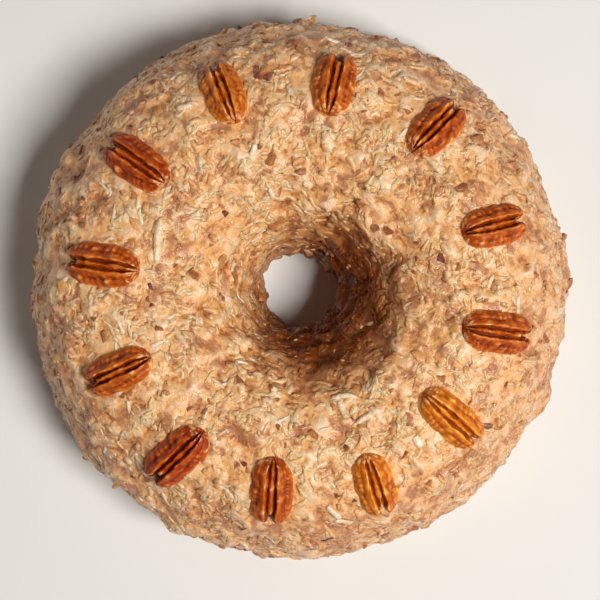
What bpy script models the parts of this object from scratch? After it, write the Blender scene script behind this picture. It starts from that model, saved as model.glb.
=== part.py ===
"""A coconut pecan ring cake: one frosted ring with twelve pecan halves pressed into its shoulder.

Metres, +Z up. The cake stands on z = 0, and the origin is the middle of its foot.
Run with: blender --background --python part.py
"""

import math
import random

import bmesh
import bpy
from mathutils import Matrix, Vector
from mathutils.bvhtree import BVHTree

# The ring: a tube cake, turned out upside down, so that it is widest at the foot.
OUTER_RADIUS = 0.1175
CROWN_RADIUS = 0.064
HOLE_RADIUS = 0.0178
HEIGHT = 0.082
SHOULDER_POWER = 2.5
THROAT_POWER = 2.2
FOOT_TUCK = 0.0022
FOOT_RISE = 0.009
RING_STEPS = 84
SHOULDER_STEPS = 13
THROAT_STEPS = 10

# Lumps that the spatula left in the frosting: size of a lump, and its height from hollow to peak.
SWEEPS = (("broad_sweeps", 0.034, 0.0042), ("spatula_lumps", 0.013, 0.0030))

# Pecan halves: azimuth and twist in degrees, distance from the axis, length and width.
PECAN_HALVES = (
    (17.9, -3.7, 0.0840, 0.0285, 0.0180),
    (49.7, -3.7, 0.0870, 0.0310, 0.0182),
    (80.3, -1.9, 0.0852, 0.0280, 0.0186),
    (110.9, -0.1, 0.0859, 0.0285, 0.0175),
    (142.1, 2.3, 0.0840, 0.0320, 0.0182),
    (173.0, -1.3, 0.0808, 0.0315, 0.0186),
    (204.5, -0.3, 0.0809, 0.0300, 0.0172),
    (233.9, -9.2, 0.0847, 0.0320, 0.0180),
    (262.4, 3.9, 0.0835, 0.0295, 0.0186),
    (291.3, -3.5, 0.0861, 0.0290, 0.0172),
    (319.7, -1.8, 0.0817, 0.0315, 0.0172),
    (347.8, 4.2, 0.0831, 0.0305, 0.0184),
)
PECAN_HEIGHT = 0.0088
PECAN_UNDERSIDE = 0.0009
PECAN_SUNK = 0.0022
BED_CLEARANCE = 0.0012

# Coconut shreds and chopped pecan, fused to the frosting. Largest first.
SHRED_COUNT = 64
SHRED_LENGTHS = (0.0150, 0.0085)
SHRED_WIDTH = 0.0024
SHRED_THICKNESS = 0.0012
CHIP_COUNT = 26
CHIP_SIZES = (0.0068, 0.0040)
SHRED_TILT = 8.0
TOPPING_GAP = 0.0012
TOPPED_TURNS = (0.10, 1.75)
SPOT_TRIES = 400
SEED = 20


def clear_scene():
    for obj in list(bpy.data.objects):
        bpy.data.objects.remove(obj)


def finish_of(name, colour, roughness):
    """A Principled material of this colour."""
    material = bpy.data.materials.new(name)
    material.use_nodes = True
    shader = material.node_tree.nodes["Principled BSDF"]
    shader.inputs["Base Color"].default_value = (*colour, 1.0)
    shader.inputs["Roughness"].default_value = roughness
    shader.inputs["Metallic"].default_value = 0.0
    return material


def mesh_object(name, mesh, collection, material=None):
    obj = bpy.data.objects.new(name, mesh)
    collection.objects.link(obj)
    if material:
        mesh.materials.append(material)
    return obj


def apply_modifiers(obj):
    """The object keeps the mesh that its modifiers make, and loses the modifiers."""
    bpy.context.view_layer.update()
    graph = bpy.context.evaluated_depsgraph_get()
    mesh = bpy.data.meshes.new_from_object(obj.evaluated_get(graph), depsgraph=graph)
    obj.modifiers.clear()
    obj.data = mesh


# The ring cake


def section(turn):
    """Radius and height of the frosting: outer foot at turn 0, crown at 1, inner foot at 2."""
    along = turn * math.pi / 2
    power = SHOULDER_POWER if turn <= 1 else THROAT_POWER
    reach = abs(math.cos(along)) ** (2 / power)
    rise = abs(math.sin(along)) ** (2 / power)
    edge = OUTER_RADIUS if turn <= 1 else HOLE_RADIUS
    height = HEIGHT * rise
    tuck = FOOT_TUCK * max(0.0, 1 - height / FOOT_RISE) ** 2
    radius = CROWN_RADIUS + (edge - CROWN_RADIUS) * reach
    return (radius - tuck if turn <= 1 else radius + tuck), height


def surface_frame(azimuth, turn):
    """Matrix of a spot on the smooth frosting: +Z is outwards, and +X runs down the outer slope."""
    step = 0.01
    radius, height = section(turn)
    (r0, z0), (r1, z1) = section(turn - step), section(turn + step)
    down = Vector((r0 - r1, 0.0, z0 - z1)).normalized()
    out = Vector((-down.z, 0.0, down.x))
    side = out.cross(down)
    local = Matrix((down, side, out)).transposed().to_4x4()
    local.translation = (radius, 0.0, height)
    return Matrix.Rotation(azimuth, 4, "Z") @ local


def turn_at(radius):
    """Where on the outer shoulder the section is this far from the axis."""
    low, high = 0.0, 1.0
    for _ in range(40):
        middle = (low + high) / 2
        if section(middle)[0] > radius:
            low = middle
        else:
            high = middle
    return middle


def ring_profile():
    """The closed outline of the ring's section, down the outer side and up the hole."""
    shoulder = [section(1 - i / SHOULDER_STEPS) for i in range(SHOULDER_STEPS + 1)]
    throat = [section(2 - i / THROAT_STEPS) for i in range(THROAT_STEPS)]
    return shoulder + [(CROWN_RADIUS, 0.0)] + throat


def build_ring(collection, material):
    """The frosted ring: the section turned round the axis, then lumped except under its foot."""
    points = ring_profile()
    mesh = bpy.data.meshes.new("ring_section")
    edges = [(i, (i + 1) % len(points)) for i in range(len(points))]
    mesh.from_pydata([(r, 0.0, z) for r, z in points], edges, [])
    ring = mesh_object("frosted_ring_cake", mesh, collection, material)
    screw = ring.modifiers.new("turned", "SCREW")
    screw.steps = screw.render_steps = RING_STEPS
    screw.use_merge_vertices = True
    screw.merge_threshold = 1e-5
    apply_modifiers(ring)
    frosting = ring.vertex_groups.new(name="frosting")
    for vertex in ring.data.vertices:
        frosting.add([vertex.index], min(1.0, vertex.co.z / FOOT_RISE), "REPLACE")
    for name, size, height in SWEEPS:
        texture = bpy.data.textures.new(name, "CLOUDS")
        texture.noise_scale = size
        lumps = ring.modifiers.new(name, "DISPLACE")
        lumps.texture = texture
        lumps.texture_coords = "LOCAL"
        lumps.strength = height
        lumps.mid_level = 0.5
        lumps.vertex_group = frosting.name
    apply_modifiers(ring)
    ring.vertex_groups.clear()
    return ring


# The pecan halves

# Stations across a half, as shares of its half width: edge, wing, crease, lobe, groove and middle ridge.
LOBE_STATIONS = (1.0, 0.86, 0.62, 0.42, 0.19, 0.06)
UNDER_STATIONS = (-0.72, -0.24, 0.24, 0.72)
AROUND = 2 * len(LOBE_STATIONS) + len(UNDER_STATIONS)
LENGTHWAYS = 11
GROOVE_DEPTH = 0.0030
CREASE_DEPTH = 0.0007
RIDGE_DROP = 0.0010
NOTCH_LENGTH = 0.22


def pecan_point(length, width, along, across, upper):
    """A point of a pecan half.

    along runs from -1, the closed tip, to 1, the split tip. across runs from -1 to 1.
    """
    plump = max(0.0, 1 - abs(along) ** 2.5) ** 0.5
    x = along * length / 2
    y = across * width / 2 * plump * (1 + 0.05 * along)
    if not upper:
        return Vector((x, y, -PECAN_UNDERSIDE * plump * (1 - across**2)))
    arch = max(0.0, 1 - abs(across) ** 2.6) ** 0.5
    z = PECAN_HEIGHT * plump**0.8 * arch
    split = min(1.0, max(0.0, (along - 1 + 2 * NOTCH_LENGTH) / NOTCH_LENGTH))
    if abs(across) < 0.12:
        z -= RIDGE_DROP + (z * 0.55 * split)
        x -= NOTCH_LENGTH / 2 * length / 2 * split
    elif abs(across) < 0.3:
        z -= GROOVE_DEPTH * min(1.0, 1.6 * plump)
    elif 0.5 < abs(across) < 0.7:
        z -= CREASE_DEPTH
    return Vector((x, y, max(z, 0.0)))


def section_stations():
    """(share of the half width, is on the upper side) of each point round a half, in a sphere's order."""
    over = [(s, True) for s in LOBE_STATIONS] + [(-s, True) for s in reversed(LOBE_STATIONS)]
    return over + [(s, False) for s in UNDER_STATIONS]


def pecan_mesh(name, length, width):
    """A sphere with its poles at the tips, each ring of it reshaped to the half's section there."""
    stations = section_stations()
    bm = bmesh.new()
    bmesh.ops.create_uvsphere(bm, u_segments=AROUND, v_segments=LENGTHWAYS, radius=1.0)
    for vertex in bm.verts:
        x, y, z = vertex.co
        tilt = math.acos(max(-1.0, min(1.0, z)))
        spot = round(math.atan2(y, x) / math.tau * AROUND) % AROUND
        across, upper = stations[spot] if math.hypot(x, y) > 1e-4 else (0.0, False)
        vertex.co = pecan_point(length, width, math.cos(tilt), across, upper)
    mesh = bpy.data.meshes.new(name)
    bm.to_mesh(mesh)
    bm.free()
    return mesh


def pecan_place(azimuth, twist, radius):
    """Where a half lies: pressed into the outer shoulder with its split tip outwards."""
    place = surface_frame(math.radians(azimuth), turn_at(radius))
    return place @ Matrix.Rotation(math.radians(twist), 4, "Z") @ Matrix.Translation((0, 0, -PECAN_SUNK))


def build_pecans(collection, material):
    for number, (azimuth, twist, radius, length, width) in enumerate(PECAN_HALVES, 1):
        name = f"pecan_half_{number:02d}"
        half = mesh_object(name, pecan_mesh(name, length, width), collection, material)
        half.matrix_world = pecan_place(azimuth, twist, radius)


def build_beds(collection):
    """Cutters for the hollows that the halves lie in: domes a little larger, and shallow below."""
    for azimuth, twist, radius, length, width in PECAN_HALVES:
        bm = bmesh.new()
        bmesh.ops.create_uvsphere(bm, u_segments=16, v_segments=8, radius=1.0)
        for vertex in bm.verts:
            x, y, z = vertex.co
            deep = PECAN_HEIGHT if z > 0 else PECAN_UNDERSIDE
            vertex.co = (
                x * (length / 2 + BED_CLEARANCE),
                y * (width / 2 + BED_CLEARANCE),
                z * (deep + BED_CLEARANCE),
            )
        mesh = bpy.data.meshes.new("bed")
        bm.to_mesh(mesh)
        bm.free()
        bed = mesh_object("bed", mesh, collection)
        bed.matrix_world = pecan_place(azimuth, twist, radius)


# Coconut shreds and chopped pecan


def near_a_half(spot, size, halves):
    """Whether a topping of this size, in any direction, would come too near a pecan half."""
    for half, (_, _, _, length, width) in zip(halves, PECAN_HALVES):
        local = half.inverted() @ spot
        reach = size / 2 + TOPPING_GAP
        if abs(local.x) < length / 2 + reach and abs(local.y) < width / 2 + reach:
            return True
    return False


def scattered_frames(ring, sizes, draw):
    """(size, matrix on the frosting) of each topping that finds room between all the others."""
    mesh = bmesh.new()
    mesh.from_mesh(ring.data)
    skin = BVHTree.FromBMesh(mesh)
    mesh.free()
    halves = [pecan_place(*row[:3]) for row in PECAN_HALVES]
    placed = []
    for size in sizes:
        for _ in range(SPOT_TRIES):
            turn = draw.uniform(*TOPPED_TURNS)
            azimuth = draw.uniform(0.0, math.tau)
            if draw.uniform(0.0, OUTER_RADIUS) > section(turn)[0]:
                continue
            spot, out, _, _ = skin.find_nearest(surface_frame(azimuth, turn).translation)
            gaps = [(spot - other.translation).length - (size + width) / 2 for width, other in placed]
            if min(gaps, default=0.0) < 0 or near_a_half(spot, size, halves):
                continue
            frame = out.to_track_quat("Z", "Y").to_matrix().to_4x4()
            frame.translation = spot
            placed.append((size, frame @ Matrix.Rotation(draw.uniform(0.0, math.tau), 4, "Z")))
            break
    return placed


def spread_of(count, largest, smallest):
    """Sizes from the largest down to the smallest."""
    return [largest + (smallest - largest) * i / (count - 1) for i in range(count)]


def shred_mesh(length, draw):
    """A flat strip of coconut, bent and narrower at one end, with a keel sunk in the frosting."""
    bm = bmesh.new()
    bmesh.ops.create_cube(bm, size=1.0)
    along = [edge for edge in bm.edges if abs(edge.verts[0].co.x - edge.verts[1].co.x) > 0.5]
    bmesh.ops.subdivide_edges(bm, edges=along, cuts=1)
    bend = draw.uniform(0.1, 0.8) * SHRED_THICKNESS
    taper = draw.uniform(0.1, 0.35)
    for vertex in bm.verts:
        x, y, z = vertex.co
        middle = 1 - 4 * x * x
        vertex.co.x = x * length
        vertex.co.y = y * SHRED_WIDTH * (1 - taper * (x + 0.5))
        vertex.co.z = SHRED_THICKNESS / 2 + bend * middle if z > 0 else -SHRED_THICKNESS * (1 + middle)
    mesh = bpy.data.meshes.new("shred")
    bm.to_mesh(mesh)
    bm.free()
    return mesh


def chip_mesh(size, draw):
    """A chopped pecan chip: a rough lump with about twenty faces."""
    bm = bmesh.new()
    bmesh.ops.create_icosphere(bm, subdivisions=1, radius=0.5)
    stretch = Vector((size, size * draw.uniform(0.55, 0.8), size * draw.uniform(0.5, 0.65)))
    for vertex in bm.verts:
        vertex.co = vertex.co * stretch * draw.uniform(0.85, 1.15)
    mesh = bpy.data.meshes.new("chip")
    bm.to_mesh(mesh)
    bm.free()
    return mesh


def build_toppings(collection, ring):
    """The shreds and chips, part sunk in the frosting and tilted, as the spatula leaves them."""
    draw = random.Random(SEED)
    shreds = spread_of(SHRED_COUNT, *SHRED_LENGTHS)
    chips = spread_of(CHIP_COUNT, *CHIP_SIZES)
    placed = scattered_frames(ring, shreds + chips, draw)
    for size, frame in placed:
        if size >= SHRED_LENGTHS[1]:
            topping = mesh_object("shred", shred_mesh(size, draw), collection)
            tilt = Matrix.Rotation(math.radians(draw.uniform(-SHRED_TILT, SHRED_TILT)), 4, "Y")
            topping.matrix_world = frame @ Matrix.Translation((0, 0, -SHRED_THICKNESS * 0.3)) @ tilt
        else:
            topping = mesh_object("chip", chip_mesh(size, draw), collection)
            topping.matrix_world = frame @ Matrix.Translation((0, 0, -size * 0.08))


def boolean_with(obj, operation, collection):
    """Joins or cuts the object with everything in the collection, and removes those objects."""
    boolean = obj.modifiers.new(operation.lower(), "BOOLEAN")
    boolean.operation = operation
    boolean.operand_type = "COLLECTION"
    boolean.collection = collection
    boolean.solver = "EXACT"
    apply_modifiers(obj)
    for used in list(collection.objects):
        bpy.data.objects.remove(used)
    bpy.data.collections.remove(collection)


def main():
    clear_scene()
    scene = bpy.context.scene
    cake = bpy.data.collections.new("coconut_pecan_ring_cake")
    beds = bpy.data.collections.new("beds")
    toppings = bpy.data.collections.new("toppings")
    for collection in (cake, beds, toppings):
        scene.collection.children.link(collection)
    frosting = finish_of("coconut_custard", (0.70, 0.47, 0.27), 0.5)
    nut = finish_of("pecan", (0.36, 0.13, 0.035), 0.42)
    ring = build_ring(cake, frosting)
    build_beds(beds)
    build_toppings(toppings, ring)
    boolean_with(ring, "DIFFERENCE", beds)
    boolean_with(ring, "UNION", toppings)
    build_pecans(cake, nut)


main()
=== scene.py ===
"""The looks of a coconut pecan ring cake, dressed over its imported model.

Metres, +Z up, the cake standing on z = 0. The sections follow the cook: the ring and its frosting,
the coconut and chopped nuts stirred into it, the pecan halves on top, then the table and the lights.
"""

import math

import bpy
import numpy as np
from mathutils import Matrix, Vector
from mathutils.bvhtree import BVHTree


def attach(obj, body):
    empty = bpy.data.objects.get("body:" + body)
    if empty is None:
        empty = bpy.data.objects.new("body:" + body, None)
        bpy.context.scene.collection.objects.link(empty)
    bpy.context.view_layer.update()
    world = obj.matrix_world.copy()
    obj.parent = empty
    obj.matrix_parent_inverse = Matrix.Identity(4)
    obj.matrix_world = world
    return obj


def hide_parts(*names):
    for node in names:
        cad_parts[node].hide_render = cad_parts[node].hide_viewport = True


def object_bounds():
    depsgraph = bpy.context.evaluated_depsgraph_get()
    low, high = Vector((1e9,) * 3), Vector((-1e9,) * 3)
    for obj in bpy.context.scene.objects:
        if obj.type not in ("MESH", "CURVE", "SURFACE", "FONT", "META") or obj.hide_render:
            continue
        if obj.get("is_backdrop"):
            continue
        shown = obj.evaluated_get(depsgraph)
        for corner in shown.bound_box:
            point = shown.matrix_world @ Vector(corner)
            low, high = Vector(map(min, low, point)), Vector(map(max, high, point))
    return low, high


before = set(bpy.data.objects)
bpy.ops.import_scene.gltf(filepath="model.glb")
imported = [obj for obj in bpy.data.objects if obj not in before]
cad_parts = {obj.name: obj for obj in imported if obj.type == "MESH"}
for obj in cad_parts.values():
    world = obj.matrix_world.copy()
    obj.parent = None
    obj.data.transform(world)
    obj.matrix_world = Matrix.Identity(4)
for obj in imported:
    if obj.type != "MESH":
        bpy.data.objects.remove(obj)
cad_low, cad_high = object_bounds()

# The frosted ring. A tall sponge ring from a tube pan, covered all over and down the hole with cooked
# coconut custard. Its section is a round outline bent to a full shoulder and a funnel, swept round the
# hole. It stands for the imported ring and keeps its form.
OUTER_RADIUS = 0.1175
CROWN_RADIUS = 0.064
HOLE_RADIUS = 0.0178
CAKE_HEIGHT = 0.082
SHOULDER_POWER = 2.5
THROAT_POWER = 2.2
FOOT_TUCK = 0.0022
FOOT_RISE = 0.009
SECTION_POINTS = 180
RING_STEPS = 260


def ring_section(turn):
    """Radius and height of the frosting.

    turn runs from 0 at the outer foot over 1 at the crown to 2 at the inner foot.
    """
    along = turn * math.pi / 2
    power = SHOULDER_POWER if turn <= 1 else THROAT_POWER
    edge = OUTER_RADIUS if turn <= 1 else HOLE_RADIUS
    height = CAKE_HEIGHT * abs(math.sin(along)) ** (2 / power)
    radius = CROWN_RADIUS + (edge - CROWN_RADIUS) * abs(math.cos(along)) ** (2 / power)
    tuck = FOOT_TUCK * max(0.0, 1 - height / FOOT_RISE) ** 2
    return (radius - tuck if turn <= 1 else radius + tuck), height


def in_edit_mode(obj):
    """The object alone is selected and opened for editing, with all of it selected."""
    bpy.ops.object.select_all(action="DESELECT")
    obj.select_set(True)
    bpy.context.view_layer.objects.active = obj
    bpy.ops.object.mode_set(mode="EDIT")
    bpy.ops.mesh.select_all(action="SELECT")


def add_clouds(obj, name, size, height, group="", level=0.5):
    """Lumps of this size and height, hollow to peak, pushed out of the surface and applied."""
    clouds = bpy.data.textures.new(name, "CLOUDS")
    clouds.noise_scale = size
    lumps = obj.modifiers.new(name, "DISPLACE")
    lumps.texture = clouds
    lumps.texture_coords = "LOCAL"
    lumps.strength = height
    lumps.mid_level = level
    lumps.vertex_group = group
    apply_modifier(obj, lumps)


def apply_modifier(obj, modifier):
    bpy.ops.object.select_all(action="DESELECT")
    obj.select_set(True)
    bpy.context.view_layer.objects.active = obj
    bpy.ops.object.modifier_apply(modifier=modifier.name)


def points_of(mesh):
    flat = np.empty(len(mesh.vertices) * 3, np.float32)
    mesh.vertices.foreach_get("co", flat)
    return flat.reshape(-1, 3).astype(float)


bpy.ops.object.select_all(action="DESELECT")
bpy.ops.mesh.primitive_circle_add(vertices=SECTION_POINTS, radius=CAKE_HEIGHT / 2)
custard = bpy.context.object
custard.name = "custard_frosting"
foot_points = SECTION_POINTS // 9
skin_points = SECTION_POINTS - foot_points
outline = [ring_section(2 * i / (skin_points - 1)) for i in range(skin_points)]
inner_foot, outer_foot = outline[-1][0], outline[0][0]
for i in range(1, foot_points + 1):
    outline.append((inner_foot + (outer_foot - inner_foot) * i / (foot_points + 1), 0.0))
for vertex, (radius, height) in zip(custard.data.vertices, outline):
    vertex.co = (radius, 0.0, height)
swept = custard.modifiers.new("swept", "SCREW")
swept.steps = RING_STEPS
swept.angle = math.tau
swept.use_normal_calculate = True
apply_modifier(custard, swept)
# Where the pecan halves go. Azimuth and twist in degrees, distance from the axis, length and width, as in
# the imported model, and the colour of each kernel's skin from dark red at 0 to golden at 1.
PECAN_HALVES = (
    (17.9, -3.7, 0.0840, 0.0285, 0.0180, 0.28),
    (49.7, -3.7, 0.0870, 0.0310, 0.0182, 0.22),
    (80.3, -1.9, 0.0852, 0.0280, 0.0186, 0.34),
    (110.9, -0.1, 0.0859, 0.0285, 0.0175, 0.62),
    (142.1, 2.3, 0.0840, 0.0320, 0.0182, 0.06),
    (173.0, -1.3, 0.0808, 0.0315, 0.0186, 0.24),
    (204.5, -0.3, 0.0809, 0.0300, 0.0172, 0.30),
    (233.9, -9.2, 0.0847, 0.0320, 0.0180, 0.02),
    (262.4, 3.9, 0.0835, 0.0295, 0.0186, 0.26),
    (291.3, -3.5, 0.0861, 0.0290, 0.0172, 0.90),
    (319.7, -1.8, 0.0817, 0.0315, 0.0172, 0.95),
    (347.8, 4.2, 0.0831, 0.0305, 0.0184, 0.24),
)
PECAN_SUNK = 0.0022
PECAN_HEADROOM = 0.014


def half_place(azimuth, twist, distance):
    """Matrix of a half on the shoulder: +Z is out of the frosting and +X, its split tip, is outwards."""
    low, high = 0.0, 1.0
    for _ in range(40):
        turn = (low + high) / 2
        if ring_section(turn)[0] > distance:
            low = turn
        else:
            high = turn
    (r0, z0), (r1, z1) = ring_section(turn - 0.01), ring_section(turn + 0.01)
    down = Vector((r0 - r1, 0.0, z0 - z1)).normalized()
    out = Vector((-down.z, 0.0, down.x))
    place = Matrix((down, out.cross(down), out)).transposed().to_4x4()
    place.translation = Vector((distance, 0.0, ring_section(turn)[1])) - out * PECAN_SUNK
    spin = Matrix.Rotation(math.radians(azimuth), 4, "Z")
    return spin @ place @ Matrix.Rotation(math.radians(twist), 4, "Z")


half_places = [half_place(*row[:3]) for row in PECAN_HALVES]


def reach_from_halves(points, margin):
    """Each point's share of the way from the nearest half's middle to its outline grown by this margin."""
    reach = np.full(len(points), 9.0)
    for place, row in zip(half_places, PECAN_HALVES):
        turn_back = np.array(place.inverted())
        local = points @ turn_back[:3, :3].T + turn_back[:3, 3]
        share = np.hypot(local[:, 0] / (row[3] / 2 + margin), local[:, 1] / (row[4] / 2 + margin))
        share[abs(local[:, 2]) > PECAN_HEADROOM] = 9.0
        reach = np.minimum(reach, share)
    return reach


# The frosting's lumps. It was patted on by the spoonful with a spatula, so it rises and sinks in heaps,
# more roughly in the hole. The halves were pressed down, so it is flatter under them, and at the foot.
SPATULA_LUMPS = (("broad_sweeps", 0.034, 0.0044), ("spoonfuls", 0.015, 0.0050), ("dabs", 0.0078, 0.0037))
THROAT_EDGE = 0.046
THROAT_LUMPS = ("throat_lumps", 0.0072, 0.0042)
PRESSED_FLAT = 0.25

ring_points = points_of(custard.data)
off_the_foot = np.clip(ring_points[:, 2] / FOOT_RISE, 0.0, 1.0)
free_of_halves = np.clip(reach_from_halves(ring_points, 0.006) * 1.6 - 0.9, PRESSED_FLAT, 1.0)
depth = (THROAT_EDGE - np.hypot(ring_points[:, 0], ring_points[:, 1])) / (THROAT_EDGE - HOLE_RADIUS)
lumpy = custard.vertex_groups.new(name="lumpy")
in_the_hole = custard.vertex_groups.new(name="in_the_hole")
for index, weight in enumerate((off_the_foot * free_of_halves).tolist()):
    lumpy.add([index], weight, "REPLACE")
for index, weight in enumerate((np.clip(2 * depth, 0.0, 1.0) * off_the_foot).tolist()):
    in_the_hole.add([index], weight, "REPLACE")
for name, size, height in SPATULA_LUMPS:
    add_clouds(custard, name, size, height, group="lumpy")
add_clouds(custard, *THROAT_LUMPS, group="in_the_hole")

# The coconut stirred in. Sweetened shreds, cooked in the custard and coated with it: long strands and short
# scraps. Each kind is one strand, modelled once and laid by the thousand on the ring, bent, kinked, rolled
# and partly sunk, to be melted into it. The sizes are length, width and thickness.
draw = np.random.default_rng(7)
STIRRED_SHREDS = (
    # name, pieces, rings along, smallest and largest size, sunk share, steepness, gap to the halves
    ("long_stirred", 4700, 4, (0.0055, 0.0018, 0.0014), (0.0130, 0.0034, 0.0024), 0.34, 0.14, -0.0008),
    ("short_stirred", 5600, 3, (0.0030, 0.0020, 0.0015), (0.0068, 0.0044, 0.0030), 0.32, 0.24, -0.0004),
)
STIRRED_THINNED = 0.5
SHRED_GROWTH = (1.6, 2.4)
FOOT_CLEAR = 0.0020
LOWEST_SHRED = 0.0004
CREAMY_PATCH = 0.042


def eased(low, high, value):
    """0 below the low value, 1 above the high one, and a smooth climb between them."""
    share = np.clip((value - low) / (high - low), 0.0, 1.0)
    return share * share * (3 - 2 * share)


def creaminess(points):
    """From 0, full of coconut, to 1, mostly custard: smoother patches some centimetres wide."""
    x, y, z = (points / CREAMY_PATCH * math.tau).T
    waves = np.sin(x + 1.4 * np.sin(0.7 * y + z)) + np.sin(0.9 * y + 1.7 * np.sin(0.6 * x - z))
    return eased(0.1, 1.3, waves)


def shred_strand(name, rings):
    """A strand of unit size along X: a ball of a few faces, drawn out to blunt ends and a flat section."""
    bpy.ops.object.select_all(action="DESELECT")
    bpy.ops.mesh.primitive_uv_sphere_add(segments=6, ring_count=rings, radius=0.5)
    strand = bpy.context.object
    strand.name = name
    for vertex in strand.data.vertices:
        x, y, z = vertex.co
        full = 1 + 0.5 * abs(z) if abs(z) < 0.49 else 1.0
        vertex.co = (math.copysign(abs(2 * z) ** 0.6 / 2, z), x * full, y * full)
    return strand


def spots_on(obj, count, margin, thinned=0.0):
    """Places and outward directions drawn over the frosting, clear of the foot and of the halves.

    thinned is the share of them that is left out where it is creamiest.
    """
    mesh = obj.data
    mesh.calc_loop_triangles()
    corners = np.empty(len(mesh.loop_triangles) * 3, np.int32)
    mesh.loop_triangles.foreach_get("vertices", corners)
    triangles = points_of(mesh)[corners.reshape(-1, 3)]
    across = np.cross(triangles[:, 1] - triangles[:, 0], triangles[:, 2] - triangles[:, 0])
    area = np.linalg.norm(across, axis=1)
    chosen = draw.choice(len(area), size=3 * count, p=area / area.sum())
    weights = draw.dirichlet((1.0, 1.0, 1.0), 3 * count)
    spots = (triangles[chosen] * weights[:, :, None]).sum(axis=1)
    outward = across[chosen] / area[chosen, None]
    usable = (spots[:, 2] > FOOT_CLEAR) & (reach_from_halves(spots, margin) > 1)
    usable &= draw.uniform(0.0, 1.0, len(spots)) > thinned * creaminess(spots)
    return spots[usable][:count], outward[usable][:count]


def turned(frames, axis, angles):
    """The frames, three columns each, turned by these angles about their own X or Y."""
    cosine, sine = np.cos(angles)[:, None], np.sin(angles)[:, None]
    x, y, z = frames[:, :, 0], frames[:, :, 1], frames[:, :, 2]
    if axis == "X":
        return np.stack((x, y * cosine + z * sine, z * cosine - y * sine), axis=2)
    return np.stack((x * cosine - z * sine, y, z * cosine + x * sine), axis=2)


def draped(points, heights, skin):
    """The points moved to the nearest places of the skin, each raised from it by its height."""
    nearest = [skin.find_nearest(point)[:2] for point in points.reshape(-1, 3).tolist()]
    places = np.array([place for place, _ in nearest])
    outward = np.array([up for _, up in nearest])
    return (places + outward * heights.reshape(-1, 1)).reshape(points.shape)


def lay_copies(
    name, master, spots, outward, sizes, sunk, tilt, bend, tones, heading=None, painted_top_light=0.0, skin=None
):
    """One mesh of many copies of the master, each at its spot with its own size, tilt, bend, kinks and tone.

    tilt is the spread of pitch and of roll in radians. bend is the spread of the rise of the middle, of the
    sideways curl, of the kinks and of the changes in width, the first three as shares of the length.
    heading is each one's long direction as a vector, or None for any. The top light given is how much lighter
    a copy is painted at its top than at its underside, a painted highlight. Where a skin is given, the copies
    follow its lumps.
    """
    count = len(spots)
    shape = np.array([vertex.co for vertex in master.data.vertices])
    stations, station = np.unique(np.round(shape[:, 0], 3), return_inverse=True)
    local = shape[None] * sizes[:, None, :]
    rise, curl, kink, uneven = bend
    bow = (0.25 - shape[None, :, 0] ** 2) * 4 * sizes[:, :1]
    kinks = draw.normal(0.0, kink, (count, len(stations)))[:, station] * sizes[:, :1]
    local[:, :, 1] *= draw.uniform(1 - uneven, 1 + uneven, (count, len(stations)))[:, station]
    local[:, :, 1] += bow * draw.normal(0.0, curl, (count, 1)) + kinks
    local[:, :, 2] += bow * draw.uniform(-0.2 * rise, rise, (count, 1)) - 0.4 * abs(kinks)
    heading = draw.normal(size=(count, 3)) if heading is None else heading
    first = heading - (heading * outward).sum(axis=1)[:, None] * outward
    first /= np.linalg.norm(first, axis=1)[:, None]
    frames = np.stack((first, np.cross(outward, first), outward), axis=2)
    frames = turned(frames, "Y", draw.normal(0.0, tilt[0], count))
    frames = turned(frames, "X", draw.normal(0.0, tilt[1], count))
    if skin is None:
        points = np.einsum("nij,nvj->nvi", frames, local) + (spots - outward * sunk[:, None])[:, None]
    else:
        flat = np.einsum("nij,nvj->nvi", frames[:, :, :2], local[:, :, :2]) + spots[:, None]
        points = draped(flat, local[:, :, 2] - sunk[:, None], skin)
    points[:, :, 2] = np.maximum(points[:, :, 2], LOWEST_SHRED)
    corners = [np.array(polygon.vertices) for polygon in master.data.polygons]
    first_points = len(shape) * np.arange(count)
    all_faces = [(corner + start).tolist() for start in first_points for corner in corners]
    mesh = bpy.data.meshes.new(name)
    mesh.from_pydata(points.reshape(-1, 3).tolist(), [], all_faces)
    tone = mesh.attributes.new("tone", "FLOAT", "POINT")
    # Painted highlight: each copy is painted lighter towards its top.
    tones_and_top_light = tones[:, None] + painted_top_light * shape[None, :, 2]
    tone.data.foreach_set("value", tones_and_top_light.astype(np.float32).ravel())
    mesh.shade_smooth()
    heap = bpy.data.objects.new(name, mesh)
    bpy.context.scene.collection.objects.link(heap)
    return heap


def grown_sizes(count, smallest, largest, shape):
    """Sizes drawn between the smallest and the largest. The beta shape sets how many of them are small."""
    grown = draw.beta(*shape, count)[:, None]
    sizes = np.array(smallest) + (np.array(largest) - smallest) * grown
    return sizes * draw.uniform(0.85, 1.15, (count, 3))


stirred_in = []
for name, count, rings, smallest, largest, sunk_share, steepness, margin in STIRRED_SHREDS:
    strand = shred_strand(name + "_strand", rings)
    spots, outward = spots_on(custard, count, margin, STIRRED_THINNED)
    sizes = grown_sizes(len(spots), smallest, largest, SHRED_GROWTH)
    heap = lay_copies(
        name,
        strand,
        spots,
        outward,
        sizes,
        sunk=sizes[:, 2] * (sunk_share + draw.uniform(-0.50, 0.40, len(spots))),
        tilt=(steepness, 0.30),
        bend=(0.12, 0.10, 0.035, 0.30),
        tones=np.zeros(len(spots)),
    )
    stirred_in.append(heap)
    bpy.data.objects.remove(strand)

# The custard that binds it. The shreds are stirred into the frosting, so ring and shreds are made one skin,
# melted together at their edges, smoothed as thick custard is, and cut flat again where the cake stands.
# Each point keeps how far it stands proud of its surroundings, which its colour follows: darker brown in the
# pits, which is painted shade, and cream where it stands proud, partly the paler coconut and partly painted
# highlight.
CUSTARD_GRAIN = 0.00131
FOOT_DROP = 0.003
RELIEF_DEPTH = 0.0011
RELIEF_BLUR = 26

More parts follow.
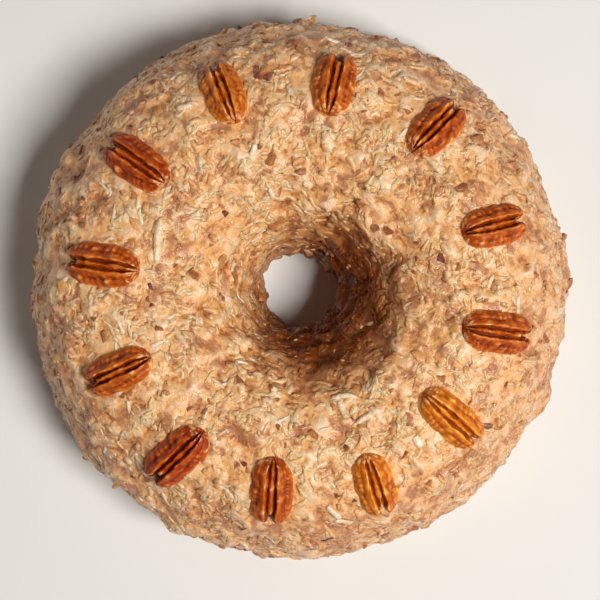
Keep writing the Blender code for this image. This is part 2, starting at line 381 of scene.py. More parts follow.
for vertex in custard.data.vertices:
    if vertex.co.z < 0.00001:
        vertex.co.z -= FOOT_DROP
bpy.ops.object.select_all(action="DESELECT")
for heap in stirred_in:
    heap.select_set(True)
custard.select_set(True)
bpy.context.view_layer.objects.active = custard
bpy.ops.object.join()
melt = custard.modifiers.new("melt", "REMESH")
melt.mode = "VOXEL"
melt.voxel_size = CUSTARD_GRAIN
apply_modifier(custard, melt)
settle = custard.modifiers.new("settle", "SMOOTH")
settle.factor = 0.5
settle.iterations = 2
apply_modifier(custard, settle)
in_edit_mode(custard)
bpy.ops.mesh.bisect(plane_co=(0, 0, 0), plane_no=(0, 0, 1), clear_inner=True)
bpy.ops.mesh.select_all(action="DESELECT")
bpy.ops.mesh.select_mode(type="EDGE")
bpy.ops.mesh.select_non_manifold(
    extend=False,
    use_wire=False,
    use_boundary=True,
    use_multi_face=False,
    use_non_contiguous=False,
    use_verts=False,
)
bpy.ops.mesh.bridge_edge_loops()
bpy.ops.mesh.select_all(action="SELECT")
bpy.ops.mesh.normals_make_consistent(inside=False)
bpy.ops.object.mode_set(mode="OBJECT")


def relief_of(mesh, blur, depth):
    """How far each point stands out of the surface blurred that many times, as a share of this depth."""
    places = points_of(mesh)
    ends = np.empty(len(mesh.edges) * 2, np.int32)
    mesh.edges.foreach_get("vertices", ends)
    start, end = ends.reshape(-1, 2).T
    here, there = np.r_[start, end], np.r_[end, start]
    near = np.maximum(np.bincount(here, minlength=len(places)), 1)[:, None]
    level = places.copy()
    for _ in range(blur):
        sums = [np.bincount(here, weights=level[there, k], minlength=len(places)) for k in range(3)]
        level = np.stack(sums, axis=1) / near
    outward = np.empty(len(mesh.vertices) * 3, np.float32)
    mesh.vertices.foreach_get("normal", outward)
    return np.clip(((places - level) * outward.reshape(-1, 3)).sum(axis=1) / depth, -1.0, 1.0)


relief = custard.data.attributes.new("relief", "FLOAT", "POINT")
relief.data.foreach_set("value", relief_of(custard.data, RELIEF_BLUR, RELIEF_DEPTH).astype(np.float32))
custard.data.shade_smooth()

# The custard's finish, which the coated coconut shares: brown in the pits, which is painted shade, and cream
# where it stands proud, partly the paler coconut and partly painted highlight, with duskier and more syrupy
# patches, and threads of coconut under the surface. Painted shade darkens the hole towards the lower right
# and the outer side.
# It is lit a little from inside.


def new_finish(name):
    """A Principled material and its shader."""
    material = bpy.data.materials.new(name)
    material.use_nodes = True
    return material, material.node_tree.nodes["Principled BSDF"]


def add_node(tree, kind, links=None, **settings):
    """A node with these settings and socket values. A value that is (node, output) becomes a link."""
    node = tree.nodes.new(kind)
    for key, value in settings.items():
        setattr(node, key, value)
    for socket, value in (links or {}).items():
        if isinstance(value, tuple) and isinstance(value[0], bpy.types.Node):
            tree.links.new(value[0].outputs[value[1]], node.inputs[socket])
        else:
            node.inputs[socket].default_value = value
    return node


def ramp_of(tree, source, stops):
    """A colour ramp from the source, with stops of (place, colour)."""
    ramp = add_node(tree, "ShaderNodeValToRGB", {"Fac": source})
    elements = ramp.color_ramp.elements
    while len(elements) < len(stops):
        elements.new(0.5)
    for element, (place, colour) in zip(elements, stops):
        element.position = place
        element.color = (*colour, 1.0)
    return ramp


def mixed(tree, factor, first, second, blend="MIX"):
    """A colour mix. The factor and colours are values or (node, output) links."""
    return add_node(
        tree, "ShaderNodeMix", {0: factor, 6: first, 7: second}, data_type="RGBA", blend_type=blend
    )


def scaled(tree, source, gain, offset):
    """The source times the gain, plus the offset."""
    return add_node(tree, "ShaderNodeMath", {0: source, 1: gain, 2: offset}, operation="MULTIPLY_ADD")


def stepped(tree, source, start, end, low, high):
    """low where the source is at the start or short of it, high at the end or past it."""
    return add_node(
        tree,
        "ShaderNodeMapRange",
        {"Value": source, "From Min": start, "From Max": end, "To Min": low, "To Max": high},
    )


def added(tree, *sources):
    """The sum of the sources."""
    total = sources[0]
    for source in sources[1:]:
        total = (add_node(tree, "ShaderNodeMath", {0: total, 1: source}, operation="ADD"), 0)
    return total


def new_group(name, scales, masks):
    """A node group from a place and these scales to these masks, with its input and output nodes."""
    group = bpy.data.node_groups.new(name, "ShaderNodeTree")
    group.interface.new_socket("Vector", in_out="INPUT", socket_type="NodeSocketVector")
    for scale in scales:
        group.interface.new_socket(scale, in_out="INPUT", socket_type="NodeSocketFloat")
    for mask in masks:
        group.interface.new_socket(mask, in_out="OUTPUT", socket_type="NodeSocketFloat")
    return group, group.nodes.new("NodeGroupInput"), group.nodes.new("NodeGroupOutput")


def placed_group(tree, group, scales=()):
    """The group in this material, on the piece's own coordinates, with these scales per metre."""
    coordinates = add_node(tree, "ShaderNodeTexCoord")
    placed = add_node(tree, "ShaderNodeGroup", node_tree=group)
    tree.links.new(coordinates.outputs["Object"], placed.inputs["Vector"])
    for socket, scale in enumerate(scales, 1):
        placed.inputs[socket].default_value = scale
    return placed


mottle, asked, given = new_group(
    "food_mottle", ("Patch Scale", "Swirl Scale", "Speck Scale"), ("Patches", "Swirls", "Specks")
)
for number, (detail, distortion) in enumerate(((3.0, 0.6), (3.0, 0.9), (5.0, 0.0))):
    noise = add_node(
        mottle,
        "ShaderNodeTexNoise",
        {"Vector": (asked, 0), "Scale": (asked, number + 1), "Detail": detail, "Distortion": distortion},
    )
    mottle.links.new(noise.outputs["Fac"], given.inputs[number])


# Three sets of streaks lie across each other. Where one runs, the threads are near 1.
THREADS_PER_METRE = 430.0
THREAD_STRETCH = 0.26
THREAD_TURNS = ((0.0, 0.3, 0.5), (0.4, 0.0, 1.6), (-0.5, 0.6, 2.6))
threads, asked, given = new_group("coconut_threads", (), ("Threads",))
crossing = None
for turn in THREAD_TURNS:
    rolled = add_node(threads, "ShaderNodeMapping", {"Vector": (asked, 0), "Rotation": turn})
    drawn_out = add_node(
        threads, "ShaderNodeVectorMath", {0: (rolled, 0), 1: (THREAD_STRETCH, 1.0, 1.0)}, operation="MULTIPLY"
    )
    streak = add_node(
        threads,
        "ShaderNodeTexNoise",
        {"Vector": (drawn_out, 0), "Scale": THREADS_PER_METRE, "Detail": 2.0, "Distortion": 0.3},
    )
    if crossing is None:
        crossing = streak
    else:
        crossing = add_node(
            threads, "ShaderNodeMath", {0: (crossing, 0), 1: (streak, 0)}, operation="MAXIMUM"
        )
threads.links.new(crossing.outputs[0], given.inputs[0])

# Inside the hole, most of all towards the camera's lower right, the frosting is darkened to brown, which is
# painted shade of the wall that faces away from the window light. The outer side is painted a little duskier
# than the crown, with more dusky patches, which is painted shade too.
THROAT_SHADE_CENTRE = (0.011, -0.006, 0.0)
THROAT_SHADE_EDGE = 0.041
THROAT_SHADE_CORE = 0.022
THROAT_SHADE_TINT = (0.32, 0.150, 0.032, 1.0)
# Painted shade on the outer side: from these distances out it is darkened and takes more dusky patches.
SIDE_SHADE_START = 0.078
SIDE_SHADE_FULL = 0.106
SIDE_SHADE_TINT = (0.96, 0.90, 0.90, 1.0)
SIDE_SHADE_PATCHES = 0.026
shade_zones, asked, given = new_group("painted_shade_zones", (), ("Throat Shade", "Side Shade"))
for output, centre, far, near in (
    (0, THROAT_SHADE_CENTRE, THROAT_SHADE_EDGE, THROAT_SHADE_CORE),
    (1, (0.0, 0.0, 0.0), SIDE_SHADE_START, SIDE_SHADE_FULL),
):
    from_centre = add_node(shade_zones, "ShaderNodeVectorMath", {0: (asked, 0), 1: centre}, operation="SUBTRACT")
    flattened = add_node(
        shade_zones, "ShaderNodeVectorMath", {0: (from_centre, 0), 1: (1.0, 1.0, 0.0)}, operation="MULTIPLY"
    )
    distance = add_node(shade_zones, "ShaderNodeVectorMath", {0: (flattened, 0)}, operation="LENGTH")
    inside = add_node(
        shade_zones,
        "ShaderNodeMapRange",
        {"Value": (distance, "Value"), "From Min": far, "From Max": near},
        interpolation_type="SMOOTHSTEP",
    )
    shade_zones.links.new(inside.outputs[0], given.inputs[output])

CUSTARD_MOTTLE = (78.0, 205.0, 650.0)
CUSTARD_TONES = (
    (0.06, (0.14, 0.030, 0.006)),
    (0.26, (0.39, 0.122, 0.030)),
    (0.44, (0.65, 0.288, 0.100)),
    (0.60, (0.81, 0.430, 0.172)),
    (0.78, (0.83, 0.525, 0.275)),
    (0.94, (0.84, 0.610, 0.405)),
)
PALE_TONES = (
    (0.00, (0.66, 0.39, 0.19)),
    (0.50, (0.82, 0.57, 0.34)),
    (1.00, (0.88, 0.76, 0.61)),
)
DUSKY = (0.45, 0.192, 0.098, 1.0)
SYRUPY = (0.82, 0.40, 0.100, 1.0)


def custard_look(name, tones, height, gain, base, dusk):
    """A finish in these tones. height is the attribute that lightens it, by this gain over this base. Where
    it is the relief, the pits take painted shade and the proud places partly painted highlight; the hole and
    the outer side take painted shade.
    """
    material, shader = new_finish(name)
    tree = material.node_tree
    streaks = placed_group(tree, mottle, CUSTARD_MOTTLE)
    strands = placed_group(tree, threads)
    raised = add_node(tree, "ShaderNodeAttribute", attribute_name=height)
    # With the relief as height, the pits take painted shade and the proud places partly painted highlight.
    shade = added(
        tree,
        (scaled(tree, (raised, "Fac"), gain, base), 0),
        (scaled(tree, (streaks, "Patches"), 0.7, -0.35), 0),
        (scaled(tree, (streaks, "Swirls"), 0.9, -0.45), 0),
        (scaled(tree, (strands, "Threads"), 0.6, -0.35), 0),
        (scaled(tree, (streaks, "Specks"), 0.6, -0.30), 0),
    )
    tinted = ramp_of(tree, shade, tones)
    placed = placed_group(tree, shade_zones)
    # Dusky patches at random, where nuts lie under the custard, and more of them on the outer side, which is
    # painted shade.
    nuts_and_side_shade = added(
        tree,
        (scaled(tree, (streaks, "Patches"), 0.5, 0.0), 0),
        (scaled(tree, (streaks, "Swirls"), 0.5, 0.0), 0),
        (scaled(tree, (placed, "Side Shade"), -SIDE_SHADE_PATCHES, 0.0), 0),
    )
    dusky = mixed(tree, (stepped(tree, nuts_and_side_shade, 0.48, 0.40, 0.0, dusk), 0), (tinted, 0), DUSKY)
    syrupy = mixed(
        tree, (stepped(tree, (streaks, "Swirls"), 0.55, 0.68, 0.0, 0.8 * dusk), 0), (dusky, 2), SYRUPY
    )
    # Painted shade: the hole's wall is darkened brown, most towards the lower right, away from the window
    # light.
    throat_shaded = mixed(tree, (placed, "Throat Shade"), (syrupy, 2), THROAT_SHADE_TINT, blend="MULTIPLY")
    # Painted shade: the outer side is darkened.
    side_shaded = mixed(tree, (placed, "Side Shade"), (throat_shaded, 2), SIDE_SHADE_TINT, blend="MULTIPLY")
    tree.links.new(side_shaded.outputs[2], shader.inputs["Base Color"])
    gloss = stepped(tree, (streaks, "Specks"), 0.3, 0.7, 0.16, 0.50)
    tree.links.new(gloss.outputs[0], shader.inputs["Roughness"])
    folds = add_node(
        tree, "ShaderNodeBump", {"Height": (streaks, "Swirls"), "Strength": 0.55, "Distance": 0.0016}
    )
    laid = add_node(
        tree,
        "ShaderNodeBump",
        {"Height": (strands, "Threads"), "Normal": (folds, 0), "Strength": 0.5, "Distance": 0.0010},
    )
    curds = add_node(
        tree,
        "ShaderNodeBump",
        {"Height": (streaks, "Specks"), "Normal": (laid, 0), "Strength": 0.6, "Distance": 0.0007},
    )
    tree.links.new(curds.outputs[0], shader.inputs["Normal"])
    shader.inputs["Subsurface Weight"].default_value = 0.35
    shader.inputs["Subsurface Radius"].default_value = (1.0, 0.55, 0.3)
    shader.inputs["Subsurface Scale"].default_value = 0.0022
    return material


custard.data.materials.clear()
custard.data.materials.append(custard_look("cooked_custard", CUSTARD_TONES, "relief", 0.31, 0.605, 0.70))
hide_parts("frosted_ring_cake")
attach(custard, "root")

# The coconut that shows. Coated strands and scraps that lie on the custard, and pale shreds that kept their
# own colour, a few of them large. They are soft from cooking, so they follow the lumps that they lie on.
SHOWING_GAP = 0.0006
SHOWING_THINNED = 0.8
SHOWING_SHREDS = (
    # name, pieces, rings along, smallest and largest size, sunk share
    ("coated_shreds", 2700, 6, (0.0040, 0.0013, 0.0009), (0.0098, 0.0031, 0.0016), 0.08),
    ("coated_scraps", 2700, 4, (0.0024, 0.0016, 0.0009), (0.0056, 0.0040, 0.0017), 0.10),
    ("pale_shreds", 620, 6, (0.0032, 0.0011, 0.0009), (0.0100, 0.0022, 0.0013), 0.06),
)
LARGE_PALE_SHREDS = (
    # azimuth, distance from the axis, heading, length, width and paleness
    (162, 0.0604, 80, 0.0220, 0.0042, 0.60),
    (293, 0.0476, 3, 0.0115, 0.0030, 0.85),
    (106, 0.0408, -45, 0.0075, 0.0024, 0.95),
    (108, 0.0596, 70, 0.0060, 0.0024, 0.90),
    (308, 0.0790, -60, 0.0060, 0.0034, 1.00),
    (298, 0.0590, 35, 0.0100, 0.0028, 0.80),
    (290, 0.0531, -65, 0.0085, 0.0028, 0.70),
    (279, 0.0930, -50, 0.0090, 0.0028, 0.85),
    (281, 0.0975, -20, 0.0080, 0.0024, 0.80),
    (161, 0.0298, 40, 0.0060, 0.0024, 0.80),
    (122, 0.0880, 20, 0.0070, 0.0024, 0.70),
)
LARGE_SHRED_THICKNESS = 0.0015
LARGE_SHRED_LIFT = 0.0004


def spots_from(rows):
    """Spots straight down on the custard for rows of azimuth, distance and heading, with their headings."""
    bpy.context.view_layer.update()
    spots, outward, headings = [], [], []
    for azimuth, distance, heading in rows:
        around, ahead = math.radians(azimuth), math.radians(heading)
        above = Vector((distance * math.cos(around), distance * math.sin(around), 2 * CAKE_HEIGHT))
        hit, spot, normal, _ = custard.ray_cast(above, Vector((0.0, 0.0, -1.0)))
        if hit:
            spots.append(spot)
            outward.append(normal)
            headings.append((math.cos(ahead), math.sin(ahead), 0.0))
    return np.array(spots), np.array(outward), np.array(headings)


coated = custard_look("coated_coconut", CUSTARD_TONES, "tone", 0.34, 0.50, 0.60)
pale = custard_look("pale_coconut", PALE_TONES, "tone", 0.70, 0.16, 0.20)
showing = {}
bare_skin = BVHTree.FromPolygons(
    [vertex.co for vertex in custard.data.vertices], [polygon.vertices for polygon in custard.data.polygons]
)
for name, count, rings, smallest, largest, sunk_share in SHOWING_SHREDS:
    strand = shred_strand(name + "_strand", rings)
    spots, outward = spots_on(custard, count, SHOWING_GAP, SHOWING_THINNED)
    sizes = grown_sizes(len(spots), smallest, largest, SHRED_GROWTH)
    showing[name] = lay_copies(
        name,
        strand,
        spots,
        outward,
        sizes,
        sunk=sizes[:, 2] * (sunk_share + draw.uniform(-0.15, 0.20, len(spots))),
        tilt=(0.0, 0.0),
        bend=(0.0, 0.07, 0.022, 0.50),
        tones=draw.beta(1.5, 1.5, len(spots)),
        skin=bare_skin,
    )
    bpy.data.objects.remove(strand)
strand = shred_strand("large_shred_strand", 11)
spots, outward, headings = spots_from([row[:3] for row in LARGE_PALE_SHREDS])
showing["large_pale_shreds"] = lay_copies(
    "large_pale_shreds",
    strand,
    spots,
    outward,
    np.array([(row[3], row[4], LARGE_SHRED_THICKNESS) for row in LARGE_PALE_SHREDS]),
    sunk=np.full(len(spots), -LARGE_SHRED_LIFT),
    tilt=(0.0, 0.0),
    bend=(0.0, 0.02, 0.006, 0.15),
    tones=np.array([row[5] for row in LARGE_PALE_SHREDS]),
    heading=headings,
    skin=bare_skin,
)
bpy.data.objects.remove(strand)
for name, heap in showing.items():
    heap.data.materials.append(coated if name.startswith("coated") else pale)
    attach(heap, "root")

# The chopped pecans. Broken bits of kernel stirred into the custard, brown where their skin shows, golden
# where they broke and plum-dark where they have soaked, with custard smeared over them and drawn up round
# them. Four bits are modelled, and copies of each lie half sunk all over, with a few large ones.
CHIP_SIZES = ((0.0015, 0.0012, 0.0010), (0.0092, 0.0064, 0.0034))
CHIPS_OF_EACH = 230
CHIP_SUNK = (-0.06, 0.30)
CHIP_BREAKS = 7
CHIP_BREAK_DEPTHS = (0.20, 0.38)
CHIP_SMALLEST_EDGE = 0.10
CHIP_EDGE = math.radians(34)
CHIP_BARE_HEIGHT = 0.0006
CHIP_GAP = 0.0010
CHIP_GROWTH = (1.0, 2.5)
CHIP_MOTTLE = (220.0, 420.0, 1100.0)
CHIP_TONES = (
    (0.00, (0.120, 0.032, 0.024)),
    (0.18, (0.240, 0.064, 0.030)),
    (0.42, (0.340, 0.108, 0.036)),
    (0.72, (0.480, 0.180, 0.048)),
    (1.00, (0.650, 0.310, 0.090)),
)
CHIP_SMEAR = (0.70, 0.360, 0.150, 1.0)
LARGE_CHIPS = (
    # azimuth, distance from the axis, heading, length, width and skin, from plum at 0 to golden at 1
    (227, 0.0419, -10, 0.0052, 0.0038, 0.25),
    (102, 0.0539, 40, 0.0062, 0.0046, 0.42),
    (323, 0.0469, 60, 0.0048, 0.0036, 0.45),
    (349, 0.1051, -70, 0.0064, 0.0042, 0.30),
    (281, 0.0861, -20, 0.0048, 0.0032, 0.12),
    (141, 0.0486, 80, 0.0048, 0.0034, 0.55),
    (89, 0.0480, 15, 0.0046, 0.0034, 0.50),
    (109, 0.0295, 20, 0.0078, 0.0062, 0.62),
    (257, 0.1017, 30, 0.0050, 0.0036, 0.02),
    (78, 0.1038, 0, 0.0054, 0.0038, 0.05),
    (22, 0.0342, 0, 0.0040, 0.0034, 0.20),
    (54, 0.0649, 10, 0.0042, 0.0032, 0.35),
    (196, 0.0591, -30, 0.0040, 0.0030, 0.30),
    (8, 0.0655, 70, 0.0042, 0.0032, 0.50),
)


def broken_bit(name):
    """A bit of kernel of unit size: a ball cut by random breaks, its small edges merged."""
    bpy.ops.object.select_all(action="DESELECT")
    bpy.ops.mesh.primitive_ico_sphere_add(subdivisions=2, radius=0.5)
    bit = bpy.context.object
    bit.name = name
    in_edit_mode(bit)
    for _ in range(CHIP_BREAKS):
        away = draw.normal(size=3)
        away /= np.linalg.norm(away)
        bpy.ops.mesh.select_all(action="SELECT")
        broken_at = away * draw.uniform(*CHIP_BREAK_DEPTHS)
        bpy.ops.mesh.bisect(plane_co=tuple(broken_at), plane_no=tuple(away), use_fill=True, clear_outer=True)
    bpy.ops.mesh.select_all(action="SELECT")
    bpy.ops.mesh.remove_doubles(threshold=CHIP_SMALLEST_EDGE)
    bpy.ops.mesh.quads_convert_to_tris()
    bpy.ops.object.mode_set(mode="OBJECT")
    corners = points_of(bit.data)
    low, high = corners.min(axis=0), corners.max(axis=0)
    bit.data.vertices.foreach_set("co", ((corners - (low + high) / 2) / (high - low)).ravel())
    return bit


chip_finish, shader = new_finish("chopped_pecan")
tree = chip_finish.node_tree
streaks = placed_group(tree, mottle, CHIP_MOTTLE)
# The bit's tone, with its top painted lighter: painted highlight.
tone_and_top_light = add_node(tree, "ShaderNodeAttribute", attribute_name="tone")
shade = added(
    tree,
    (tone_and_top_light, "Fac"),
    (scaled(tree, (streaks, "Specks"), 0.9, -0.45), 0),
    (scaled(tree, (streaks, "Patches"), 1.2, -0.60), 0),
)
bare = ramp_of(tree, shade, CHIP_TONES)
bared = add_node(tree, "ShaderNodeAttribute", attribute_name="bared")
covered = added(
    tree,
    (scaled(tree, (bared, "Fac"), -1.1, 1.0), 0),
    (scaled(tree, (streaks, "Swirls"), 2.6, -1.30), 0),
)
smeared = mixed(tree, (stepped(tree, covered, 0.10, 0.75, 0.0, 0.92), 0), (bare, 0), CHIP_SMEAR)
tree.links.new(smeared.outputs[2], shader.inputs["Base Color"])
pits = add_node(tree, "ShaderNodeBump", {"Height": (streaks, "Specks"), "Strength": 0.5, "Distance": 0.0005})
tree.links.new(pits.outputs[0], shader.inputs["Normal"])
shader.inputs["Roughness"].default_value = 0.46
large_spots, large_outward, large_headings = spots_from([row[:3] for row in LARGE_CHIPS])
large_sizes = np.array([(row[3], row[4], 0.8 * row[4]) for row in LARGE_CHIPS])
large_tones = np.array([row[5] for row in LARGE_CHIPS])
for number in range(1, 5):
    bit = broken_bit(f"pecan_bit_{number}")
    spots, outward = spots_on(custard, CHIPS_OF_EACH, CHIP_GAP)
    headings = draw.normal(size=(len(spots), 3))
    sizes = grown_sizes(len(spots), *CHIP_SIZES, CHIP_GROWTH)
    sunk = sizes[:, 2] * draw.uniform(*CHIP_SUNK, len(spots))
    picked = slice(number - 1, None, 4)
    chips = lay_copies(
        f"chopped_pecan_{number}",
        bit,
        np.concatenate((spots, large_spots[picked])),
        np.concatenate((outward, large_outward[picked])),
        np.concatenate((sizes, large_sizes[picked])),
        sunk=np.concatenate((sunk, 0.02 * large_sizes[picked, 2])),
        tilt=(0.20, 0.20),
        bend=(0.0, 0.0, 0.0, 0.0),
        tones=np.concatenate((draw.beta(1.4, 1.5, len(spots)), large_tones[picked])),
        heading=np.concatenate((headings, large_headings[picked])),
        # Painted highlight: the tops of the bits are painted lighter than their undersides.
        painted_top_light=0.22,
    )
    chips.data.set_sharp_from_angle(angle=CHIP_EDGE)
    above = np.empty(len(chips.data.vertices))
    for index, vertex in enumerate(chips.data.vertices):
        nearest, up, _, _ = bare_skin.find_nearest(vertex.co)
        above[index] = (vertex.co - nearest).dot(up)
    bared = chips.data.attributes.new("bared", "FLOAT", "POINT")
    bared.data.foreach_set("value", np.clip(above / CHIP_BARE_HEIGHT, 0.0, 1.0).astype(np.float32))
    chips.data.materials.append(chip_finish)
    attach(chips, "root")
    bpy.data.objects.remove(bit)

# The pecan halves. Twelve shelled kernels, pressed in by hand with the split tip outwards. Each is a ball
# stretched to a kernel, folded into two lobes with a ridge between two deep grooves, a wavy crease down
# each lobe and a notch at the split tip, then wrinkled. Its skin follows how proud each point stands: darker
# in the grooves and paler on the ridges, partly the skin's own colour and partly painted shade and highlight.
KERNEL_SEGMENTS = 110
KERNEL_RINGS = 74
KERNEL_TOP_SHARE = 0.8
KERNEL_HEIGHT = 0.0088
KERNEL_UNDERSIDE = 0.0009
GROOVE_PLACE = 0.165
GROOVE_WIDTH = 0.072
GROOVE_DEPTH = 0.0032
RIDGE_DROP = 0.0007
CREASE_PLACE = 0.60
CREASE_WIDTH = 0.085
CREASE_DEPTH = 0.0008
NOTCH_LENGTH = 0.0026
LOBE_SPREAD = 0.0013
WRINKLE_DEPTH = 0.00034
KERNEL_RELIEF_BLUR = 22
KERNEL_RELIEF_DEPTH = 0.00075
KERNEL_WRINKLES = (("kernel_dents", 0.0050, 0.0012), ("kernel_wrinkles", 0.0014, 0.00060))


def kernel_points(ball, length, width, waver):
    """The ball's points moved to a kernel's surface. waver holds the half's own phases, from 0 to 1."""
    along = ball[:, 2]
    around = (np.arctan2(ball[:, 1], ball[:, 0]) / math.tau) % 1.0
    upper = around <= KERNEL_TOP_SHARE
    on_top = 1 - 2 * around / KERNEL_TOP_SHARE
    below = 2 * (around - KERNEL_TOP_SHARE) / (1 - KERNEL_TOP_SHARE) - 1
    across = np.where(upper, on_top, below)
    across = np.sign(across) * abs(across) ** np.where(upper, 1.15, 1.0)
    tip = np.hypot(ball[:, 0], ball[:, 1]) < 1e-5
    across[tip] = 0.0
    side = abs(across)
    plump = np.sqrt(np.clip(1 - abs(along) ** np.where(along < 0, 3.7, 3.3), 0.0, 1.0))
    split = eased(0.50, 0.98, along)
    wave = 0.035 * np.sin(5.5 * along + math.tau * waver[0]) + 0.02 * np.sin(13 * along + math.tau * waver[1])
    arch = np.clip(1 - side**2.6, 0.0, 1.0) ** 0.55
    height = KERNEL_HEIGHT * plump**0.75 * arch
    groove = np.exp(-(((side - GROOVE_PLACE - 0.03 * split + 0.3 * wave) / GROOVE_WIDTH) ** 2))
    height -= GROOVE_DEPTH * groove * np.minimum(1.0, 1.5 * plump)
    ridge = 1 - eased(0.05, 0.16, side)
    height -= ridge * (RIDGE_DROP + 0.6 * height * split)
    crease = np.exp(-(((side - CREASE_PLACE - wave * np.sign(across)) / CREASE_WIDTH) ** 2))
    height -= CREASE_DEPTH * crease * plump
    fringe = eased(0.32, 0.70, side) * plump
    turns = 29 * along + 5 * side + 2.6 * np.sin(6 * along + 2 * across + math.tau * waver[1])
    height -= WRINKLE_DEPTH * fringe * (1 + np.sin(turns + math.tau * waver[2] + 9 * wave * np.sign(across)))
    height += 0.0003 * plump * np.sin(9 * along + 4 * across + math.tau * waver[3])
    height = np.where(upper, np.maximum(height, 0.0), -KERNEL_UNDERSIDE * plump * (1 - across**2))
    sideways = across * width / 2 * plump * (1 + 0.05 * along)
    sideways += LOBE_SPREAD * np.tanh(across / 0.22) * eased(0.72, 1.0, along) * np.where(upper, 1.0, 0.8)
    lengthways = along * length / 2 - NOTCH_LENGTH * np.exp(-((across / 0.26) ** 2)) * split
    return np.stack((lengthways, sideways, height), axis=1)


bpy.ops.object.select_all(action="DESELECT")
bpy.ops.mesh.primitive_uv_sphere_add(segments=KERNEL_SEGMENTS, ring_count=KERNEL_RINGS, radius=1.0)
ball = bpy.context.object
ball_points = points_of(ball.data)

DARK_SKIN = (
    (0.00, (0.085, 0.012, 0.003)),
    (0.32, (0.175, 0.018, 0.002)),
    (0.58, (0.345, 0.036, 0.002)),
    (0.82, (0.580, 0.115, 0.012)),
    (1.00, (0.800, 0.300, 0.075)),
)
GOLDEN_SKIN = (
    (0.00, (0.140, 0.022, 0.003)),
    (0.32, (0.350, 0.070, 0.004)),
    (0.58, (0.630, 0.155, 0.008)),
    (0.82, (0.840, 0.340, 0.032)),
    (1.00, (0.950, 0.620, 0.180)),
)
SKIN_WORN_AND_HIGHLIT = (0.90, 0.60, 0.30)
kernel_finish, shader = new_finish("pecan_skin")
tree = kernel_finish.node_tree
lengthwise = add_node(tree, "ShaderNodeAttribute", attribute_name="kernel_place")
streak_space = add_node(
    tree, "ShaderNodeMapping", {"Vector": (lengthwise, "Vector"), "Scale": (0.28, 1.0, 1.0)}
)
grain = add_node(tree, "ShaderNodeTexNoise", {"Vector": (streak_space, 0), "Scale": 900.0, "Detail": 6.0})
blotches = add_node(
    tree, "ShaderNodeTexNoise", {"Vector": (lengthwise, "Vector"), "Scale": 230.0, "Detail": 4.0}
)
stands_proud = add_node(tree, "ShaderNodeAttribute", attribute_name="relief")
# Darker in the grooves and lighter on the ridges by the relief: partly the skin's own colour, partly painted
# shade and highlight.
shade = added(
    tree,
    (scaled(tree, (stands_proud, "Fac"), 0.38, 0.50), 0),
    (scaled(tree, (grain, "Fac"), 0.45, -0.225), 0),
    (scaled(tree, (blotches, "Fac"), 0.5, -0.25), 0),
)
dark_skin = ramp_of(tree, shade, DARK_SKIN)
golden_skin = ramp_of(tree, shade, GOLDEN_SKIN)
worn = add_node(tree, "ShaderNodeAttribute", attribute_name="worn")
ripeness = add_node(tree, "ShaderNodeAttribute", attribute_name="tone")
skin = mixed(tree, (ripeness, "Fac"), (dark_skin, 0), (golden_skin, 0))
# Pale where the skin is rubbed at the inner end, which is wear, and on the proudest ridges, partly wear and
# partly painted highlight.
worn_and_highlit = stepped(tree, added(tree, shade, (scaled(tree, (worn, "Fac"), 0.26, 0.0), 0)), 0.84, 1.00, 0.0, 0.75)
worn_and_highlit_skin = mixed(tree, (worn_and_highlit, 0), (skin, 2), (*SKIN_WORN_AND_HIGHLIT, 1.0))
tree.links.new(worn_and_highlit_skin.outputs[2], shader.inputs["Base Color"])
shader.inputs["Specular IOR Level"].default_value = 0.24
fine = add_node(tree, "ShaderNodeBump", {"Height": (grain, "Fac"), "Strength": 0.5, "Distance": 0.0004})
tree.links.new(fine.outputs[0], shader.inputs["Normal"])
dull = stepped(tree, (blotches, "Fac"), 0.3, 0.7, 0.30, 0.50)
tree.links.new(dull.outputs[0], shader.inputs["Roughness"])

for number, (place, row) in enumerate(zip(half_places, PECAN_HALVES), 1):
    kernel = ball.copy()
    kernel.data = ball.data.copy()
    kernel.name = f"pecan_kernel_{number:02d}"
    bpy.context.scene.collection.objects.link(kernel)
    shaped = kernel_points(ball_points, row[3], row[4], draw.uniform(0.0, 1.0, 4))
    shift = draw.uniform(-1.0, 1.0, 3)
    kernel.data.vertices.foreach_set("co", (shaped + shift).ravel())
    for name, size, height in KERNEL_WRINKLES:
        add_clouds(kernel, f"{name}_{number}", size, height)
    wrinkled = points_of(kernel.data) - shift
    own_place = kernel.data.attributes.new("kernel_place", "FLOAT_VECTOR", "POINT")
    own_place.data.foreach_set("vector", (wrinkled + shift).astype(np.float32).ravel())
    turn_out = np.array(place)
    kernel.data.vertices.foreach_set("co", (wrinkled @ turn_out[:3, :3].T + turn_out[:3, 3]).ravel())
    kernel.data.update()
    relief = kernel.data.attributes.new("relief", "FLOAT", "POINT")
    height_on_it = relief_of(kernel.data, KERNEL_RELIEF_BLUR, KERNEL_RELIEF_DEPTH)
    relief.data.foreach_set("value", height_on_it.astype(np.float32))
    tone = kernel.data.attributes.new("tone", "FLOAT", "POINT")
    tone.data.foreach_set("value", np.full(len(wrinkled), row[5], np.float32))
    worn_end = kernel.data.attributes.new("worn", "FLOAT", "POINT")
    worn_end.data.foreach_set("value", eased(0.62, 0.98, -ball_points[:, 2]).astype(np.float32))
    kernel.data.shade_smooth()
    kernel.data.materials.append(kernel_finish)
    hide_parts(f"pecan_half_{number:02d}")
    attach(kernel, "root")
bpy.data.objects.remove(ball)

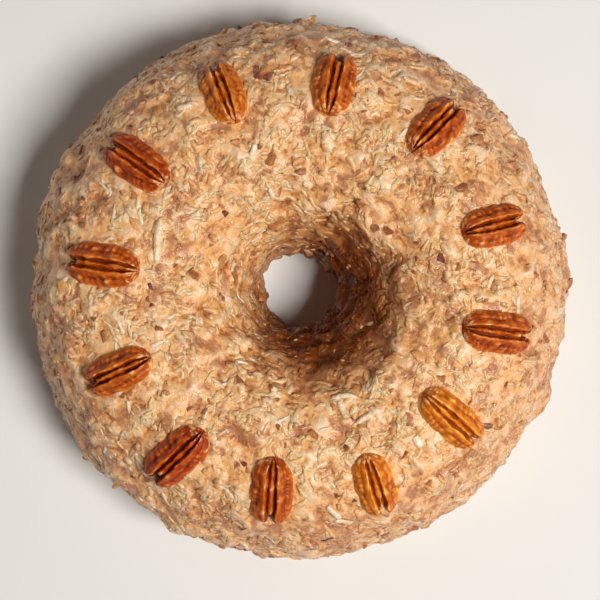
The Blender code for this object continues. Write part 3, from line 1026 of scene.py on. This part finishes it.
# The table and the lights: a pale table top, one large soft window light from the lower right of the
# photograph, and weak light from all round. The camera looks straight down from over the cake.
FLOOR_SIZE = 4.0
TABLE_MOTTLE = (6.0, 20.0, 40.0)
KEY_AZIMUTH = -27.0
KEY_ELEVATION = 62.0
KEY_DISTANCE = 1.8
KEY_SIZE = 0.60
KEY_WATTS = 36.4
FILL_AZIMUTH = 150.0
FILL_ELEVATION = 14.0
FILL_DISTANCE = 1.4
FILL_SIZE = 1.1
FILL_WATTS = 4.5
LIGHT_COLOUR = (1.0, 0.98, 0.95)
ROOM_COLOUR = (0.96, 0.97, 1.0)
ROOM_LIGHT = 0.042
CAMERA_HEIGHT = 0.80
CAMERA_CENTRE = (0.0005, -0.0045)
SENSOR_WIDTH = 36.0
CAMERA_LENS = 105.6

bpy.ops.object.select_all(action="DESELECT")
bpy.ops.mesh.primitive_plane_add(size=FLOOR_SIZE, location=(0, 0, -0.0002))
table_top = bpy.context.object
table_top.name = "table_top"
table_finish, shader = new_finish("pale_table")
tree = table_finish.node_tree
grey = placed_group(tree, mottle, TABLE_MOTTLE)
table_colour = ramp_of(tree, (grey, "Patches"), ((0.3, (0.735, 0.725, 0.70)), (0.7, (0.755, 0.745, 0.72))))
tree.links.new(table_colour.outputs[0], shader.inputs["Base Color"])
shader.inputs["Roughness"].default_value = 0.7
table_top.data.materials.append(table_finish)
table_top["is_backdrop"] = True


def soft_light(name, azimuth, elevation, distance, size, watts):
    """A square window or card of light that faces the cake."""
    around, up = math.radians(azimuth), math.radians(elevation)
    direction = Vector((math.cos(around) * math.cos(up), math.sin(around) * math.cos(up), math.sin(up)))
    bpy.ops.object.light_add(type="AREA", location=direction * distance)
    light = bpy.context.object
    light.name = name
    light.rotation_euler = direction.to_track_quat("Z", "Y").to_euler()
    light.data.size = size
    light.data.energy = watts
    light.data.color = LIGHT_COLOUR


soft_light("window_light", KEY_AZIMUTH, KEY_ELEVATION, KEY_DISTANCE, KEY_SIZE, KEY_WATTS)
soft_light("wall_light", FILL_AZIMUTH, FILL_ELEVATION, FILL_DISTANCE, FILL_SIZE, FILL_WATTS)

bpy.context.scene.view_settings.view_transform = "Standard"
room = bpy.data.worlds.new("room")
bpy.context.scene.world = room
room.use_nodes = True
room.node_tree.nodes["Background"].inputs["Color"].default_value = (*ROOM_COLOUR, 1.0)
room.node_tree.nodes["Background"].inputs["Strength"].default_value = ROOM_LIGHT

bpy.ops.object.camera_add(location=(*CAMERA_CENTRE, CAMERA_HEIGHT))
camera = bpy.context.object
camera.data.sensor_width = SENSOR_WIDTH
camera.data.lens = CAMERA_LENS
bpy.context.scene.camera = camera

dressed_low, dressed_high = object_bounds()
sizes = {
    "cad": [list(cad_low), list(cad_high)],
    "visual": [list(dressed_low), list(dressed_high)],
}
